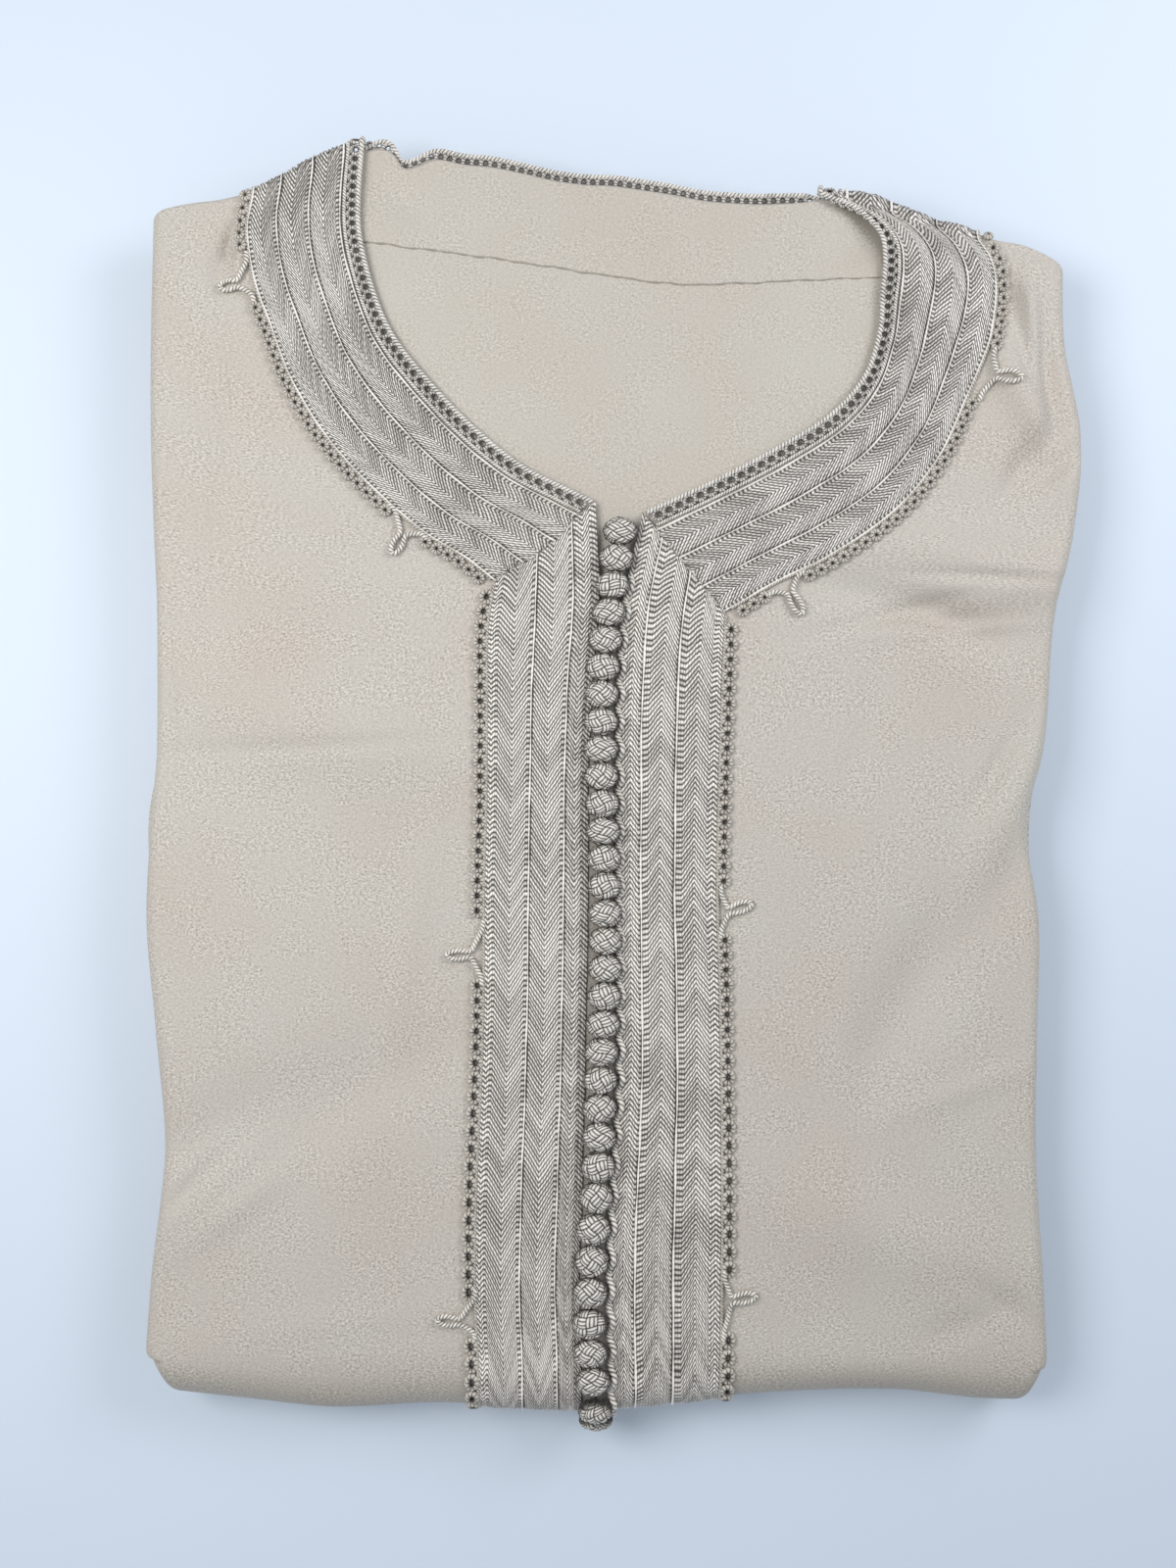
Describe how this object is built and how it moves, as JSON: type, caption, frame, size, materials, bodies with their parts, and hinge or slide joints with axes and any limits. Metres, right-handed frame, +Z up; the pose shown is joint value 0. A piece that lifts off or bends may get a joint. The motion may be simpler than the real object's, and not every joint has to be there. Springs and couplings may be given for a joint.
{
  "type": "folded kaftan",
  "caption": "Long robe folded flat into a neat stack, with braided neck and plackets, corded edgings and a closed row of knotted buttons.",
  "frame": {"origin": "middle of the underside of the folded garment", "axes": "+Z up out of the surface it lies on, +Y towards the neck, +X towards the garment's left shoulder, which is on the right as seen from above"},
  "size_m": [0.314, 0.4324, 0.035],
  "materials": {
    "cloth": "soft crepe-backed satin, champagne grey",
    "facing": "smooth satin side of the same cloth",
    "braid": "silky twisted thread in a herringbone weave",
    "cord": "silky twisted cord"
  },
  "bodies": {
    "root": {"back": "facing", "back_neck_facing": "facing", "button_01": "cord", "button_02": "cord", "button_03": "cord", "button_04": "cord", "button_05": "cord", "button_06": "cord", "button_07": "cord", "button_08": "cord", "button_09": "cord", "button_10": "cord", "button_11": "cord", "button_12": "cord", "button_13": "cord", "button_14": "cord", "button_15": "cord", "button_16": "cord", "button_17": "cord", "button_18": "cord", "button_19": "cord", "button_20": "cord", "button_21": "cord", "button_22": "cord", "button_23": "cord", "button_24": "cord", "button_25": "cord", "button_26": "cord", "button_27": "cord", "button_28": "cord", "button_29": "cord", "button_30": "cord", "button_31": "cord", "button_32": "cord", "button_33": "cord", "button_34": "cord", "button_cord": "cord", "drawn_loop_left_1": "cord", "drawn_loop_left_2": "cord", "drawn_loop_left_3": "cord", "drawn_loop_left_4": "cord", "drawn_loop_right_1": "cord", "drawn_loop_right_2": "cord", "drawn_loop_right_3": "cord", "drawn_loop_right_4": "cord", "folded_layers": "cloth", "front_left": "cloth", "front_right": "cloth", "neck_braid_inner": "braid", "neck_braid_middle": "braid", "neck_braid_outer": "braid", "neck_edging": "cord", "outer_edging": "cord", "placket_braid_left_inner": "braid", "placket_braid_left_middle": "braid", "placket_braid_left_outer": "braid", "placket_braid_right_inner": "braid", "placket_braid_right_middle": "braid", "placket_braid_right_outer": "braid"}
  },
  "joints": []
}
